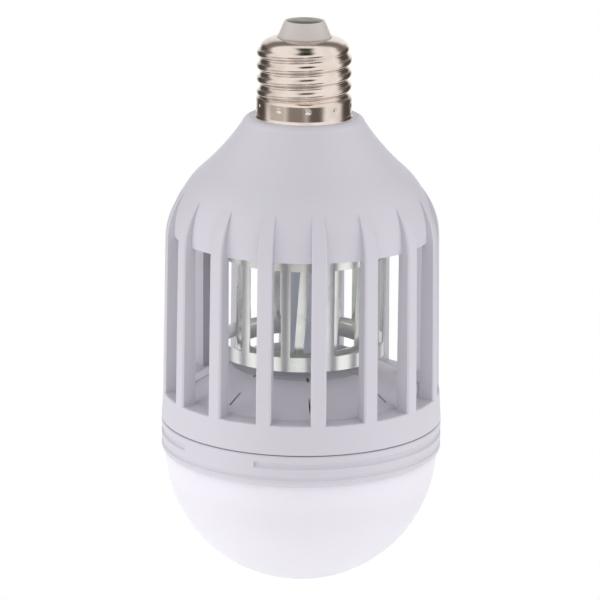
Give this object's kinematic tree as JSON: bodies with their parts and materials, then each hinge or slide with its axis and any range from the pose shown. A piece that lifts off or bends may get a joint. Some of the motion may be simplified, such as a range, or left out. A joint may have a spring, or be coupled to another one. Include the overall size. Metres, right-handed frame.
{
  "type": "insect killer light bulb",
  "caption": "Screw-cap lamp with an opal light dome below a ribbed cage, in which two charged drum grids surround an ultraviolet tube.",
  "frame": {"origin": "centre of the cap skirt's lower edge, on the lamp's axis, where the metal cap meets the neck", "axes": "+Z along the lamp's axis, out of the cap towards the centre contact; the light dome points to -Z; one cage window is centred on each of +X, -X, +Y and -Y"},
  "size_m": [0.0784, 0.0784, 0.1593],
  "materials": {
    "nickel_plate": "rolled shell, warm nickel plate",
    "cap_insulator": "grey-white moulded insulator",
    "contact_metal": "dull plated disc",
    "white_moulding": "satin moulded plastic, cool white",
    "inner_moulding": "plain moulded insulator",
    "lead_insulation": "flexible lead",
    "circuit_board": "printed board",
    "aluminium_board": "white solder mask on aluminium",
    "ferrite": "pressed ferrite",
    "winding": "taped winding",
    "capacitor_sleeve": "shrink sleeve",
    "film_capacitor": "dipped film capacitor",
    "diode_body": "moulded diode",
    "screw_steel": "zinc-plated screw",
    "grid_sheet": "bright stamped sheet",
    "tube_plastic": "frosted blue-grey tube",
    "led_package": "moulded emitter",
    "opal_diffuser": "opal diffuser"
  },
  "bodies": {
    "root": {"screw_shell": "nickel_plate", "cap_insulator": "cap_insulator", "centre_contact": "contact_metal", "cage_housing": "white_moulding", "lower_body": "white_moulding", "grid_holder": "inner_moulding", "live_lead": "lead_insulation", "neutral_lead": "lead_insulation", "lamp_leads": "lead_insulation", "grid_leads": "lead_insulation", "driver_board": "circuit_board", "uv_led_board": "circuit_board", "led_board": "aluminium_board", "step_up_transformer": "ferrite", "transformer_winding": "winding", "electrolytic_capacitor": "capacitor_sleeve", "film_capacitors": "film_capacitor", "rectifier_diodes": "diode_body", "driver_board_screws": "screw_steel", "holder_screws": "screw_steel", "body_screws": "screw_steel", "led_board_screws": "screw_steel", "outer_grid": "grid_sheet", "inner_grid": "grid_sheet", "uv_tube": "tube_plastic", "uv_leds": "led_package", "white_leds": "led_package", "diffuser_dome": "opal_diffuser"}
  },
  "joints": []
}
